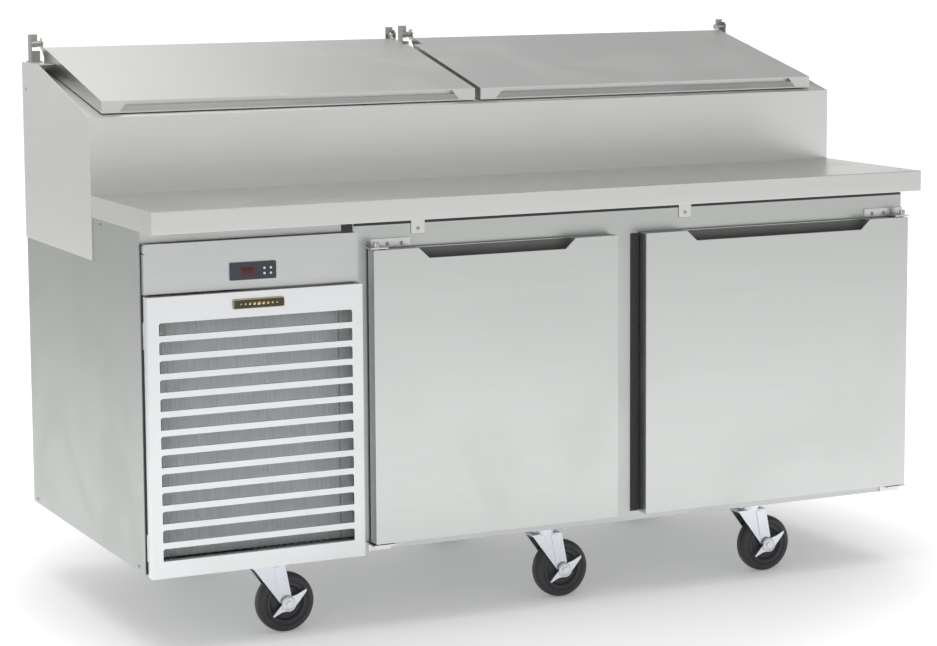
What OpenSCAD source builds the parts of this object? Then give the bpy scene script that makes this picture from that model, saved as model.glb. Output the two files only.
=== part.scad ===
// Refrigerated sandwich prep table: two doors, louvered machine bay, raised pan rail with two lids.
// Millimetres. Floor at z = 0, centred on x and y, front towards -y.

/* [Overall] */
// Overall width over the worktop ends
overall_w = 1829; // [1500:1:2400]
// Overall depth from worktop fascia to rear skin
overall_d = 876; // [720:1:1100]
// Height of the worktop surface
work_h = 914; // [750:1:1100]
// Thickness of the sheet metal
skin = 2; // [1:0.1:3]
// Thickness of the rail housing's end and rear sheets
side_in = 2; // [1:0.1:4]

/* [Worktop and rail] */
// Height of the worktop fascia
fascia = 46; // [25:1:60]
// Depth of the rail housing, riser to rear skin
rail_d = 491; // [460:1:560]
// Height of the riser above the worktop
riser_h = 162; // [120:1:220]
// Slope of the pan deck in degrees
deck_slope = 10.7; // [5:0.1:14]
// Slope of the lid tops in degrees
lid_slope = 13.34; // [8:0.1:18]
// Depth of the flat ledge at the rear
ledge_d = 48; // [40:1:80]
// Height of the rail housing's skirt down over the cabinet
skirt_h = 92; // [40:1:160]
// Length of a food pan, front to back
pan_l = 325; // [300:1:340]
// Width of a food pan
pan_w = 176; // [150:1:180]
// Depth of a food pan
pan_depth = 100; // [65:1:150]
// Distance between pan centres
pan_pitch = 195; // [186:1:210]
// Width of a pan's rim
pan_rim = 8; // [6:0.5:12]
// Pans under each lid
pan_n = 4; // [3:1:4]

/* [Lids] */
// Distance from the table end to the lid
lid_inset = 35.5; // [30:0.5:60]
// Gap between the two lids
lid_gap = 14; // [8:1:30]
// Distance from riser face to lid front
lid_set = 24; // [15:1:40]
// Lid length, front to back, measured level
lid_run = 412; // [380:1:420]
// Height of the lid's front flange
lid_front_h = 26; // [20:1:40]
// Depth of the finger groove in the lid front
groove_d = 14; // [8:1:20]
// Plain length at each end of the groove, at its foot
groove_end = 38; // [24:1:120]
// Height of the lip over the finger groove
groove_lip = 2.2; // [1:0.1:4]
// Height of the groove's open mouth
groove_mouth = 8.8; // [6:0.1:12]
// Depth of the notch that clears a middle hinge bracket
notch_run = 52; // [40:1:80]

/* [Machine bay] */
// Width of the machine bay, outside to bulkhead
bay_w = 478; // [440:1:560]
// Louver panel width
louver_w = 467; // [430:1:550]
// Louver panel depth
panel_t = 24; // [15:1:30]
// Distance from fascia to louver panel face
louver_y = 50; // [30:1:70]
// Pitch of the louver slots
slot_pitch = 38.4; // [30:0.1:60]
// Height of a louver slot
slot_h = 26; // [14:1:40]
// Height of the control panel
control_h = 101; // [80:1:140]

/* [Doors] */
// Width of the left door
door_l_w = 575; // [480:1:700]
// Door thickness without gasket
door_t = 30; // [24:1:40]
// Distance from fascia to door face
door_y = 40; // [25:1:60]
// Gap between the two doors
mullion_gap = 70; // [50:1:120]
// Depth of the hand notch in a door's top edge
notch_h = 22; // [15:1:30]
// Plain door edge at each side of the hand notch
notch_side = 103; // [80:1:160]
// Width of the seal round a door
gasket_w = 14; // [10:1:20]

/* [Casters] */
// Wheel diameter
wheel_d = 127; // [100:1:150]
// Wheel tread width
wheel_w = 32; // [24:1:40]
// Distance from swivel axis to axle
caster_trail = 39; // [30:1:48]
// Height from wheel top to cabinet bottom
caster_over = 39; // [34:1:50]

/* [Hidden] */
$fn = 48;
run_gap = 0.05;
air_gap = 0.4;
poke = 1;
foam_gap = 0.2;
base_z = wheel_d + caster_over;
top_z = work_h - fascia;
riser_y = overall_d - rail_d;
back_y = overall_d - side_in;
riser_z = work_h + riser_h;
shell_l = side_in + skin;
shell_r = overall_w - shell_l;
shell_b = back_y - skin;
side_y = 83;
frame_y = 75;
frame_l = bay_w - 15;
deck_t = tan(deck_slope);
ledge_y = overall_d - side_in - ledge_d;
ledge_z = riser_z + deck_t * (ledge_y - riser_y) + 13.5;
lip_w = 14;

// door positions
door_l_x0 = bay_w + 17;
door_l_x1 = door_l_x0 + door_l_w;
door_r_x0 = door_l_x1 + mullion_gap;
door_r_x1 = overall_w - 6;
door_z0 = base_z + 19;
door_z1 = work_h - 109;
door_in = 30;
open_z0 = door_z0 + door_in;
open_z1 = door_z1 - door_in;
hinge_dx = 10;
hinge_dy = 10;
pin_r = 4;
hinge_clear = 2;
hinge_t = 3;
hinge_h = 18;
hinge_outer = 15;
hinge_long = 87;
hinge_arm = 24;
hinge_screw = [35, 67];
hinge_screw_z = 7;
hinge_pin_in = 16;
screw_bore = 2.5;

// refrigerated compartment
foam_t = 43;
liner_x0 = door_l_x0 + door_in;
liner_x1 = door_r_x1 - door_in;
liner_y1 = shell_b - foam_t - skin;
liner_z0 = open_z0;
liner_z1 = door_z1 - 5;

// pan rail
lid_w = (overall_w - 2 * lid_inset - lid_gap) / 2;
lid_l_x = lid_inset;
lid_r_x = lid_inset + lid_w + lid_gap;
lid_c = [lid_l_x + lid_w / 2, lid_r_x + lid_w / 2];
hole_u = pan_l - 2 * pan_rim + 2;
hole_w = pan_w - 2 * pan_rim + 2;
pan_u0 = 50;
hole_u0 = pan_u0 + pan_rim - 1;
hole_x = (pan_n - 1) * pan_pitch + hole_w;
well_x0 = lid_c[0] - hole_x / 2 - 28;
well_x1 = lid_c[1] + hole_x / 2 + 28;
well_y0 = riser_y + 41;
well_y1 = ledge_y - 24;
well_z = work_h - 14;
duct_w = 240;
duct_y0 = well_y0 + 120;
duct_y1 = well_y0 + 240;
duct_x = [liner_x0 + 90, liner_x1 - 90 - duct_w];

// lids
lid_y0 = riser_y + lid_set;
lid_y1 = lid_y0 + lid_run;
lid_lift = 2;
lid_t = tan(lid_slope);
lid_zf = riser_z + deck_t * lid_set + lid_lift + lid_front_h;
lid_zr = lid_zf + lid_t * lid_run;
lid_pin_y = lid_y1 + 21;
lid_pin_z = lid_zr + 7.5;
lid_pin_r = 3;
bracket_t = 2.5;
bracket_h = 62;
bracket_y0 = lid_pin_y - 12.5;
web_y = lid_pin_y + 8;
web_w = 21;
ear_t = 3;
ear_in = 27;
ear_far_r = 7;
lobe_r = 12;
lid_bracket_x = [lid_l_x - ear_in, lid_r_x - 3.3];
far_flange_x = [lid_l_x + lid_w - 4.5, lid_r_x + lid_w + 24];
notch_y = lid_y1 - notch_run;
notch_near = lid_bracket_x[1] + ear_in - 1 - lid_r_x;
notch_far = 12;

// machine bay
louver_x0 = side_in + 4;
louver_x1 = louver_x0 + louver_w;
louver_z0 = base_z - 3;
louver_z1 = top_z - 131;
control_x0 = side_in + skin + 1.5;
control_x1 = louver_x1 - 3;
control_y = 66;
control_z0 = louver_z1 + 4;
control_z1 = control_z0 + control_h;
header_x1 = bay_w - 37;
header_h = 25;
slot_x0 = louver_x0 + 24;
slot_x1 = louver_x1 - 23.5;
slot_low = louver_z0 + 35;
slot_high = louver_z1 - 44;
slot_n = floor((slot_high - slot_low - slot_h) / slot_pitch) + 1;
knuckle_r = 4;
knuckle_x = louver_x0 + 3;
screw_r = 4;
knuckle_y = side_y - knuckle_r;
leaf_h = 55;
leaf_z = [louver_z0 + 32, louver_z1 - 108];

// controller
ctl_x0 = control_x0 + 182.5;
ctl_w = 100;
ctl_h = 36;
ctl_z0 = control_z0 + 18;
ctl_proud = 3;
key_r = 2.5;
key_x = [ctl_x0 + 74, ctl_x0 + 88];
key_z = [ctl_z0 + 11.5, ctl_z0 + 22.5];
key_out = 1.3;

// condensing unit
cond_x0 = 60;
cond_x1 = bay_w - 40;
cond_y0 = side_y + 14;
cond_y1 = cond_y0 + 55;
cond_z0 = base_z + 26;
cond_z1 = louver_z1 - 40;
fan_x = (cond_x0 + cond_x1) / 2;
fan_z = (cond_z0 + cond_z1) / 2;
fan_r = min(cond_x1 - cond_x0, cond_z1 - cond_z0) / 2 - 30;
shroud_y = cond_y1 + 32;
fan_y = cond_y1 + 20;
motor_y = shroud_y + 12;
comp_r = 85;
comp_x = 240;
comp_y = side_y + 0.54 * (shell_b - side_y);
comp_h = 235;
tray_z = base_z + skin;

// evaporator
evap_x0 = door_l_x1 - 210;
evap_w = 420;
evap_y1 = liner_y1 - 4;
evap_y0 = evap_y1 - 215;
evap_z0 = liner_z1 - 112;
evap_fan_x = evap_x0 + evap_w / 2;
evap_fan_r = 43;
evap_fan_z = liner_z1 - 58;
line_y = evap_y1 - 50;
line_z = liner_z1 - 18;
line_r = 5;
line_hole_y = 30;
line_hole_z = 14;

// shelves
shelf_z = liner_z0 + 0.45 * (liner_z1 - liner_z0);
shelf_y0 = frame_y + skin + 40;
shelf_y1 = liner_y1 - 12;
post_w = 20;
post_t = 6;
mid_x = (door_l_x1 + door_r_x0) / 2;
wire = 6;

// casters
swivel_x = [284, door_l_x1 - 134, overall_w - 368];
swivel_y = [135, overall_d - 131];
plate_w = 92;
plate_d = 68;
plate_t = 4;
race_r = 26;
king_r = 6;
axle_r = 5;
axle_z = wheel_d / 2;
crown_z = base_z - plate_t - 18;
fork_t = 3;
fork_in = wheel_w / 2 + 2;
fork_y = fork_in + fork_t;
fork_back = 38;
fork_front = 34;
rib_t = 1.5;

// ---------- helpers ----------

// Everything is drawn with the left end, the fascia and the floor at zero.
module shop() {
  translate([-overall_w / 2, -overall_d / 2, 0]) children();
}

module box(x0, x1, y0, y1, z0, z1) {
  translate([x0, y0, z0]) cube([x1 - x0, y1 - y0, z1 - z0]);
}

// A profile drawn as (y, z) and run along x.
module along_x(x0, x1) {
  translate([x0, 0, 0]) rotate([90, 0, 90]) linear_extrude(x1 - x0) children();
}

// A profile drawn as (x, z) and run along y.
module along_y(y0, y1) {
  translate([0, y1, 0]) rotate([90, 0, 0]) linear_extrude(y1 - y0) children();
}

module rod_x(x0, x1, y, z, r) {
  translate([x0, y, z]) rotate([0, 90, 0]) cylinder(r = r, h = x1 - x0);
}

module rod_y(x, y0, y1, z, r) {
  translate([x, y0, z]) rotate([-90, 0, 0]) cylinder(r = r, h = y1 - y0);
}

module rod_z(x, y, z0, z1, r) {
  translate([x, y, z0]) cylinder(r = r, h = z1 - z0);
}

module rounded(w, h, r) {
  translate([r, 0]) square([w - 2 * r, h]);
  translate([0, r]) square([w, h - 2 * r]);
  for (x = [r, w - r], y = [r, h - r]) translate([x, y]) circle(r = r);
}

// The pan deck's own frame: origin on the riser's top front edge, y up the slope.
module on_deck() {
  translate([0, riser_y, riser_z]) rotate([deck_slope, 0, 0]) children();
}

function deck_at(y) = riser_z + deck_t * (y - riser_y);

// Space under the pan deck inside the rail housing, as a (y, z) profile.
module under_deck() {
  polygon([
    [riser_y + skin, top_z],
    [back_y, top_z],
    [back_y, ledge_z - skin],
    [ledge_y + skin, ledge_z - skin],
    [ledge_y + skin, deck_at(ledge_y + skin) - deck_drop - foam_gap],
    [riser_y + skin, deck_at(riser_y + skin) - deck_drop - foam_gap]
  ]);
}

deck_drop = skin / cos(deck_slope);

module ducts() {
  for (x = duct_x) box(x, x + duct_w, duct_y0, duct_y1, liner_z1 - 10, well_z + 10);
}

// ---------- cabinet shell ----------

side_screw = [[riser_y - 54, top_z - 11], [back_y - 30, base_z + 10], [side_y + 40, base_z + 10]];
rail_screw = [back_y - 27, ledge_z - 60];

module side_sheet() {
  box(side_in, shell_l, side_y, back_y, base_z, top_z);
  box(shell_l, shell_l + lip_w, side_y, side_y + skin, base_z + skin, top_z - header_h);
  box(shell_l, shell_l + lip_w, shell_b - skin, shell_b, base_z + skin, top_z);
}

module side_left() {
  color("silver") shop() side_sheet();
}

module side_right() {
  color("silver") shop() translate([overall_w, 0, 0]) mirror([1, 0, 0]) side_sheet();
}

grille_pitch = 32;
grille_h = 12;
grille_n = floor((top_z - base_z - 200) / grille_pitch);

module rear_shell() {
  color("silver") shop() {
    difference() {
      box(shell_l, shell_r, shell_b, back_y, base_z, top_z);
      for (i = [0 : grille_n - 1]) {
        z = base_z + 90 + i * grille_pitch;
        translate([0, back_y + poke, 0]) rotate([90, 0, 0]) linear_extrude(skin + 2 * poke)
          translate([60, z]) rounded(bay_w - 120, grille_h, grille_h / 2 - 0.5);
      }
    }
    box(shell_l, shell_r, side_y, back_y, base_z, base_z + skin);
  }
}

module bay_frame() {
  color("silver") shop() {
    difference() {
      box(bay_w, bay_w + skin, frame_y + skin, shell_b, base_z + skin, top_z);
      box(bay_w - 1, bay_w + skin + 1, line_y - line_hole_y, line_y + line_hole_y, line_z - line_hole_z, line_z + line_hole_z);
    }
    box(shell_l, header_x1, side_y, side_y + skin, top_z - header_h, top_z);
    box(shell_l, bay_w, side_y + skin, side_y + 45, top_z - skin, top_z);
  }
}

module insulation() {
  color("khaki") shop() {
    difference() {
      box(bay_w + skin, shell_r, frame_y + skin, shell_b, base_z + skin, top_z);
      box(liner_x0 - skin, liner_x1 + skin, frame_y, liner_y1 + skin, liner_z0 - skin, liner_z1 + skin);
      box(shell_r - lip_w, shell_r, side_y, side_y + skin, base_z, top_z - header_h);
      box(shell_r - lip_w, shell_r, shell_b - skin, shell_b, base_z, top_z);
      box(bay_w, liner_x0, line_y - line_hole_y, line_y + line_hole_y, line_z - line_hole_z, line_z + line_hole_z);
      ducts();
    }
    difference() {
      along_x(side_in, overall_w - side_in) under_deck();
      box(well_x0 - skin, well_x1 + skin, well_y0 - skin, well_y1 + skin, well_z - skin, riser_z + 200);
      ducts();
    }
  }
}

module post(x, y, dx, dy, top) {
  box(x, x + dx, y, y + dy, liner_z0 + 20, top);
}

module liner() {
  color("gainsboro") shop() {
    difference() {
      box(liner_x0 - skin, liner_x1 + skin, frame_y + skin, liner_y1 + skin, liner_z0 - skin, liner_z1 + skin);
      box(liner_x0, liner_x1, frame_y, liner_y1, liner_z0, liner_z1);
      box(liner_x0 - skin - 1, liner_x0 + 1, line_y - line_hole_y, line_y + line_hole_y, line_z - line_hole_z, line_z + line_hole_z);
      ducts();
    }
    for (y = [shelf_y0 + 40, shelf_y1 - 90]) {
      post(liner_x0, y, post_t, post_w, liner_z1 - 40);
      post(liner_x1 - post_t, y, post_t, post_w, liner_z1 - 40);
      box(liner_x0 + post_t, liner_x0 + post_t + 12, y, y + post_w, shelf_z - 12, shelf_z - wire / 2);
      box(liner_x1 - post_t - 12, liner_x1 - post_t, y, y + post_w, shelf_z - 12, shelf_z - wire / 2);
    }
    for (x = [mid_x - 30, mid_x + 10]) {
      post(x, liner_y1 - post_t, post_w, post_t, evap_z0 - 10);
      box(x, x + post_w, shelf_y1 - 8, liner_y1 - post_t, shelf_z - 12, shelf_z - wire / 2);
    }
  }
}

// Front frame round both door openings, with the mullion and its shelf brackets.
module face_frame() {
  color("silver") shop() {
    difference() {
      box(frame_l, overall_w - side_in, frame_y, frame_y + skin, base_z, top_z);
      box(liner_x0, door_l_x1 - door_in, frame_y - 1, frame_y + skin + 1, open_z0, open_z1);
      box(door_r_x0 + door_in, liner_x1, frame_y - 1, frame_y + skin + 1, open_z0, open_z1);
    }
    box(frame_l, frame_l + skin, frame_y + skin, side_y, base_z, top_z);
    box(shell_r, overall_w - side_in, frame_y + skin, side_y, base_z, top_z);
    box(frame_l + skin, shell_r, frame_y + skin, side_y, base_z, base_z + skin);
    for (x = [mid_x - 30, mid_x + 10]) {
      box(x, x + post_w, frame_y + skin, shelf_y0 + 10, shelf_z - 12, shelf_z - wire / 2);
    }
  }
}

module machine_base() {
  color("silver") shop() {
    difference() {
      box(20, bay_w - 10, side_y + 10, shell_b - 12, tray_z, tray_z + 24);
      box(22, bay_w - 12, side_y + 12, shell_b - 14, tray_z + 2, tray_z + 30);
    }
    box(90, 140, cond_y1 + 60, cond_y1 + 62, tray_z + 2, tray_z + 26);
  }
}

// ---------- worktop and pan rail ----------

tab_w = 32;
tab_drop = 37;
tab_screw_z = top_z - 26;
tab_x = [door_l_x0 + 100, door_r_x0 + 100];

module worktop() {
  color("silver") shop() {
    difference() {
      box(0, overall_w, 0, riser_y, top_z, work_h);
      box(skin, overall_w - skin, skin, riser_y - skin, top_z + skin, work_h - skin);
      box(60, overall_w - 60, 30, riser_y - 30, top_z - 1, top_z + skin + 1);
    }
    for (x = tab_x) {
      difference() {
        union() {
          box(x, x + tab_w, 26, frame_y, top_z - skin, top_z);
          box(x, x + tab_w, frame_y - skin, frame_y, top_z - tab_drop, top_z - skin);
        }
        rod_y(x + tab_w / 2, frame_y - skin - 1, frame_y + 1, tab_screw_z, screw_bore);
      }
    }
  }
}

module deck_holes() {
  for (c = lid_c) {
    translate([c - hole_x / 2, hole_u0, -skin - 20]) cube([hole_x, hole_u, skin + 40]);
  }
}

module rail_housing() {
  color("silver") shop() {
    for (x = [0, overall_w - side_in]) difference() {
      along_x(x, x + side_in) polygon([
        [riser_y, top_z - skirt_h],
        [overall_d, top_z - skirt_h],
        [overall_d, ledge_z],
        [ledge_y - 86, ledge_z],
        [ledge_y - 86, ledge_z - 4],
        [riser_y, riser_z]
      ]);
      rod_x(x - 1, x + side_in + 1, rail_screw[0], rail_screw[1], screw_r + air_gap);
    }
    box(side_in, overall_w - side_in, back_y, overall_d, top_z - skirt_h, ledge_z);
    box(side_in, overall_w - side_in, riser_y, riser_y + skin, top_z, riser_z - 1);
    box(side_in, overall_w - side_in, ledge_y, back_y, ledge_z - skin, ledge_z);
    box(side_in, overall_w - side_in, ledge_y, ledge_y + skin, deck_at(ledge_y) - 1, ledge_z - skin);
    for (x = [side_in, overall_w - 32]) {
      box(x, x + 30, ledge_y - 86, ledge_y, ledge_z - skin, ledge_z);
    }
    difference() {
      along_x(side_in, overall_w - side_in) polygon([
        [riser_y, riser_z],
        [ledge_y + skin, deck_at(ledge_y + skin)],
        [ledge_y + skin, deck_at(ledge_y + skin) - deck_drop],
        [riser_y, riser_z - deck_drop]
      ]);
      on_deck() deck_holes();
    }
  }
}

module rail_liner() {
  color("gainsboro") shop() difference() {
    intersection() {
      along_x(well_x0 - skin, well_x1 + skin) under_deck();
      box(well_x0 - skin, well_x1 + skin, well_y0 - skin, well_y1 + skin, well_z - skin, ledge_z);
    }
    box(well_x0, well_x1, well_y0, well_y1, well_z, ledge_z + 50);
    ducts();
  }
}

bar_w = pan_pitch - hole_w;

module divider_bars() {
  color("silver") shop() on_deck() {
    for (c = lid_c, i = [1 : pan_n - 1]) {
      x = c + (i - pan_n / 2) * pan_pitch - bar_w / 2;
      translate([x, hole_u0, -skin]) cube([bar_w, hole_u, skin]);
      for (dx = [0, bar_w - 2]) {
        translate([x + dx, hole_u0 - 12, -skin - 12]) cube([2, hole_u + 24, 12]);
      }
    }
  }
}

module food_pan() {
  in_w = pan_w - 2 * pan_rim;
  in_l = pan_l - 2 * pan_rim;
  difference() {
    union() {
      linear_extrude(1.5) translate([-pan_w / 2, 0]) rounded(pan_w, pan_l, 12);
      translate([-in_w / 2, pan_rim, -pan_depth]) linear_extrude(pan_depth) rounded(in_w, in_l, 20);
    }
    translate([-in_w / 2 + 1.5, pan_rim + 1.5, -pan_depth + 1.5]) linear_extrude(pan_depth + 5)
      rounded(in_w - 3, in_l - 3, 18.5);
  }
}

module food_pans() {
  color("silver") shop() on_deck() {
    for (c = lid_c, i = [0 : pan_n - 1]) {
      translate([c + (i - (pan_n - 1) / 2) * pan_pitch, pan_u0, 0]) food_pan();
    }
  }
}

// ---------- lids ----------

// Closed lid as a (y, z) profile, drawn in by d on all sides but the underside.
module lid_profile(d) {
  f = lid_y0 + d;
  r = lid_y1 - d;
  polygon([
    [f, deck_at(f) + lid_lift],
    [r, deck_at(r) + lid_lift],
    [r, lid_zf + lid_t * (r - lid_y0) - d],
    [f, lid_zf + lid_t * (f - lid_y0) - d]
  ]);
}

// Finger groove under the lid's front lip: an open mouth over a strip that leans back.
module lid_groove(x0) {
  xa = x0 + groove_end;
  xb = x0 + lid_w - groove_end;
  zt = lid_zf - groove_lip;
  zm = zt - groove_mouth;
  zb = deck_at(lid_y0) + lid_lift + 2.5;
  intersection() {
    along_x(xa, xb) polygon([
      [lid_y0 - 5, zt],
      [lid_y0 + groove_d, zt],
      [lid_y0 + groove_d, zm - 2],
      [lid_y0 + 3, zm],
      [lid_y0, zb],
      [lid_y0 - 5, zb]
    ]);
    along_y(lid_y0 - 6, lid_y0 + groove_d + 1) polygon([
      [xa, zb],
      [xa + 22, lid_zf],
      [xb - 22, lid_zf],
      [xb, zb]
    ]);
  }
}

// Space cut from a lid's rear corner, grown by d, for the bracket in the middle of the table.
module lid_notch(xa, xb, d) {
  box(xa - d, xb + d, notch_y - d, lid_y1 + 1, riser_z, lid_zr + 20);
}

// Ear that carries the lid on its hinge pin.
module lid_ear(x, r) {
  along_x(x, x + ear_t) difference() {
    union() {
      translate([lid_pin_y, lid_pin_z]) circle(r = r);
      polygon([
        [lid_y1 - skin, lid_zr - 26],
        [lid_pin_y - 4, lid_pin_z - r + 1],
        [lid_pin_y, lid_pin_z],
        [lid_pin_y - r + 2, lid_pin_z + 3],
        [lid_y1 - skin, lid_zr - 2.5]
      ]);
    }
    translate([lid_pin_y, lid_pin_z]) circle(r = lid_pin_r + run_gap);
  }
}

// Sheet cap of a lid from x0, with a corner notch from na to nb and its two ears.
module lid_skin(x0, na, nb, near_ear, far_ear) {
  back = lid_y0 + groove_d + 2;
  difference() {
    along_x(x0, x0 + lid_w) lid_profile(0);
    lid_notch(na, nb, 0);
    difference() {
      along_x(x0 + skin, x0 + lid_w - skin) lid_profile(skin);
      lid_notch(na, nb, skin);
    }
    lid_groove(x0);
  }
  difference() {
    along_x(x0 + groove_end - 4, x0 + lid_w - groove_end + 4) polygon([
      [lid_y0 + 1, deck_at(lid_y0) + lid_lift + 0.5],
      [back, deck_at(lid_y0) + lid_lift + 3],
      [back, lid_zf - 1],
      [lid_y0 + 1, lid_zf - 2]
    ]);
    lid_groove(x0);
  }
  lid_ear(near_ear, lobe_r + 1);
  lid_ear(far_ear, ear_far_r);
}

// Foam-backed underside that fills the cap, with a shallow pressed panel.
module lid_liner(x0, na, nb) {
  front = lid_y0 + groove_d + 2;
  rear = lid_y1 - skin;
  rise = 1.5;
  difference() {
    along_x(x0 + skin, x0 + lid_w - skin) polygon([
      [front, deck_at(front) + lid_lift + rise],
      [rear, deck_at(rear) + lid_lift + rise],
      [rear, lid_zr - skin - lid_t * skin - foam_gap],
      [front, lid_zf + lid_t * (groove_d + 2) - skin - foam_gap]
    ]);
    lid_notch(na, nb, skin);
    along_x(x0 + 40, x0 + lid_w - 40) polygon([
      [front + 44, deck_at(front + 44)],
      [notch_y - 14, deck_at(notch_y - 14)],
      [notch_y - 14, deck_at(notch_y - 14) + 8],
      [front + 44, deck_at(front + 44) + 8]
    ]);
  }
}

notch_l = [lid_l_x + lid_w - notch_far, lid_l_x + lid_w + poke];
notch_r = [lid_r_x - poke, lid_r_x + notch_near];
near_ear_x = [for (x = lid_bracket_x) x + ear_in + 0.3];
far_ear_x = [notch_l[0] - skin - ear_t, lid_r_x + lid_w - ear_t];

module lid_left() {
  color("silver") shop() lid_skin(lid_l_x, notch_l[0], notch_l[1], near_ear_x[0], far_ear_x[0]);
}

module lid_left_liner() {
  color("gainsboro") shop() lid_liner(lid_l_x, notch_l[0], notch_l[1]);
}

module lid_right() {
  color("silver") shop() lid_skin(lid_r_x, notch_r[0], notch_r[1], near_ear_x[1], far_ear_x[1]);
}

module lid_right_liner() {
  color("gainsboro") shop() lid_liner(lid_r_x, notch_r[0], notch_r[1]);
}

// Angle bracket at a lid's left end: side flange, web with a slot, foot, and a pin in a barrel.
module near_bracket(x) {
  slot_z = ledge_z + 25;
  slot_top = slot_z + 8;
  top = ledge_z + bracket_h;
  box(x, x + bracket_t, bracket_y0, web_y + bracket_t, ledge_z, top);
  box(x, x + web_w + 6, web_y, web_y + bracket_t, ledge_z, slot_z);
  box(x, x + web_w, web_y, web_y + bracket_t, slot_top, top);
  box(x, x + 6, web_y, web_y + bracket_t, slot_z, slot_top);
  box(x, x + web_w + 6, bracket_y0 + 4, back_y - 4, ledge_z, ledge_z + bracket_t);
  rod_x(x, x + ear_in + ear_t + 2, lid_pin_y, lid_pin_z, lid_pin_r);
  rod_x(x, x + ear_in - 2, lid_pin_y, lid_pin_z, lid_pin_r + 3.5);
}

// Bracket at a lid's right end: web, foot, and a flange with a round lobe for the pin.
module far_bracket(x, pin_x) {
  top = ledge_z + bracket_h - 2.5;
  w = web_w - 3;
  box(x - w, x, web_y, web_y + bracket_t, ledge_z, top);
  along_x(x - bracket_t, x) union() {
    translate([lid_pin_y, lid_pin_z]) circle(r = lobe_r);
    polygon([
      [bracket_y0 + 2, ledge_z],
      [web_y, ledge_z],
      [web_y, lid_pin_z + 8],
      [lid_pin_y, lid_pin_z],
      [bracket_y0 + 2, lid_pin_z - 4]
    ]);
  }
  box(x - w, x, bracket_y0 + 4, back_y - 4, ledge_z, ledge_z + bracket_t);
  rod_x(pin_x, x, lid_pin_y, lid_pin_z, lid_pin_r);
}

module lid_brackets() {
  color("gray") shop() {
    for (x = lid_bracket_x) near_bracket(x);
    for (i = [0, 1]) far_bracket(far_flange_x[i], far_ear_x[i] - 2);
  }
}

// ---------- doors ----------

// Hand notch profile (x, z) in the top edge of a door that spans x0 to x1.
module notch(x0, x1, extra) {
  polygon([
    [x0 + notch_side - 2, door_z1 + 5],
    [x0 + notch_side, door_z1],
    [x0 + notch_side + 24, door_z1 - notch_h - extra],
    [x1 - notch_side - 24, door_z1 - notch_h - extra],
    [x1 - notch_side, door_z1],
    [x1 - notch_side + 2, door_z1 + 5]
  ]);
}

module pin_bores(px, r) {
  rod_z(px, door_y + hinge_dy, door_z0 - 1, door_z0 + 22, r);
  rod_z(px, door_y + hinge_dy, door_z1 - 22, door_z1 + 1, r);
}

module door_skin(x0, x1, px) {
  difference() {
    box(x0, x1, door_y, door_y + door_t, door_z0, door_z1);
    box(x0 + skin, x1 - skin, door_y + skin, door_y + door_t + 1, door_z0 + skin, door_z1 - skin);
    along_y(door_y - 1, door_y + 24) notch(x0, x1, 0);
    pin_bores(px, pin_r + run_gap);
  }
}

module door_core(x0, x1, px) {
  difference() {
    box(x0 + skin, x1 - skin, door_y + skin, door_y + door_t, door_z0 + skin, door_z1 - skin);
    along_y(door_y, door_y + 24) notch(x0, x1, 0);
    along_y(door_y + skin, door_y + 20) notch(x0, x1, 16);
    pin_bores(px, pin_r + air_gap);
    box(x0 + 40, x1 - 40, door_y + door_t - 4, door_y + door_t + 1, door_z0 + 40, door_z1 - 40);
  }
}

module door_gasket(x0, x1) {
  a = 13;
  y0 = door_y + door_t;
  difference() {
    box(x0 + a, x1 - a, y0, frame_y - air_gap, door_z0 + a, door_z1 - a);
    box(x0 + a + gasket_w, x1 - a - gasket_w, y0 - 1, frame_y + 1, door_z0 + a + gasket_w, door_z1 - a - gasket_w);
  }
}

module door_left() {
  color("silver") shop() door_skin(door_l_x0, door_l_x1, door_l_x0 + hinge_dx);
}

module door_left_core() {
  color("dimgray") shop() door_core(door_l_x0, door_l_x1, door_l_x0 + hinge_dx);
}

module door_left_gasket() {
  color("darkslategray") shop() door_gasket(door_l_x0, door_l_x1);
}

module door_right() {
  color("silver") shop() door_skin(door_r_x0, door_r_x1, door_r_x1 - hinge_dx);
}

module door_right_core() {
  color("dimgray") shop() door_core(door_r_x0, door_r_x1, door_r_x1 - hinge_dx);
}

module door_right_gasket() {
  color("darkslategray") shop() door_gasket(door_r_x0, door_r_x1);
}

// Box between two x values given in either order.
module span_box(xa, xb, y0, y1, z0, z1) {
  box(min(xa, xb), max(xa, xb), y0, y1, z0, z1);
}

// Fixed half of a door's two hinges, its plates reaching towards side (1 is right, -1 is left).
module hinge_pair(px, side) {
  py = door_y + hinge_dy;
  zt = door_z1 + hinge_clear;
  zb = door_z0 - hinge_clear;
  plate_y = frame_y - hinge_t;
  outer = px - side * hinge_outer;
  difference() {
    union() {
      span_box(outer, px + side * hinge_long, plate_y, frame_y, zt, zt + hinge_h);
      span_box(outer, px + side * hinge_arm, py - 9, plate_y, zt, zt + hinge_t);
    }
    for (k = hinge_screw) rod_y(px + side * k, plate_y - 1, frame_y + 1, zt + hinge_screw_z, screw_bore);
  }
  rod_z(px, py, zt - hinge_pin_in, zt + hinge_t, pin_r);
  rod_z(px, py, zt + hinge_t, zt + 14, 7);
  span_box(outer, px + side * 36, plate_y, frame_y, base_z, zb);
  span_box(outer, px + side * 36, py - 9, plate_y, zb - hinge_t, zb);
  rod_z(px, py, zb, zb + hinge_pin_in, pin_r);
}

module door_hinges() {
  color("silver") shop() {
    hinge_pair(door_l_x0 + hinge_dx, 1);
    hinge_pair(door_r_x1 - hinge_dx, -1);
  }
}

// ---------- machine bay front ----------

module tray_panel(x0, x1, y0, depth, z0, z1) {
  difference() {
    box(x0, x1, y0, y0 + depth, z0, z1);
    box(x0 + skin, x1 - skin, y0 + skin, y0 + depth + 1, z0 + skin, z1 - skin);
  }
}

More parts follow.
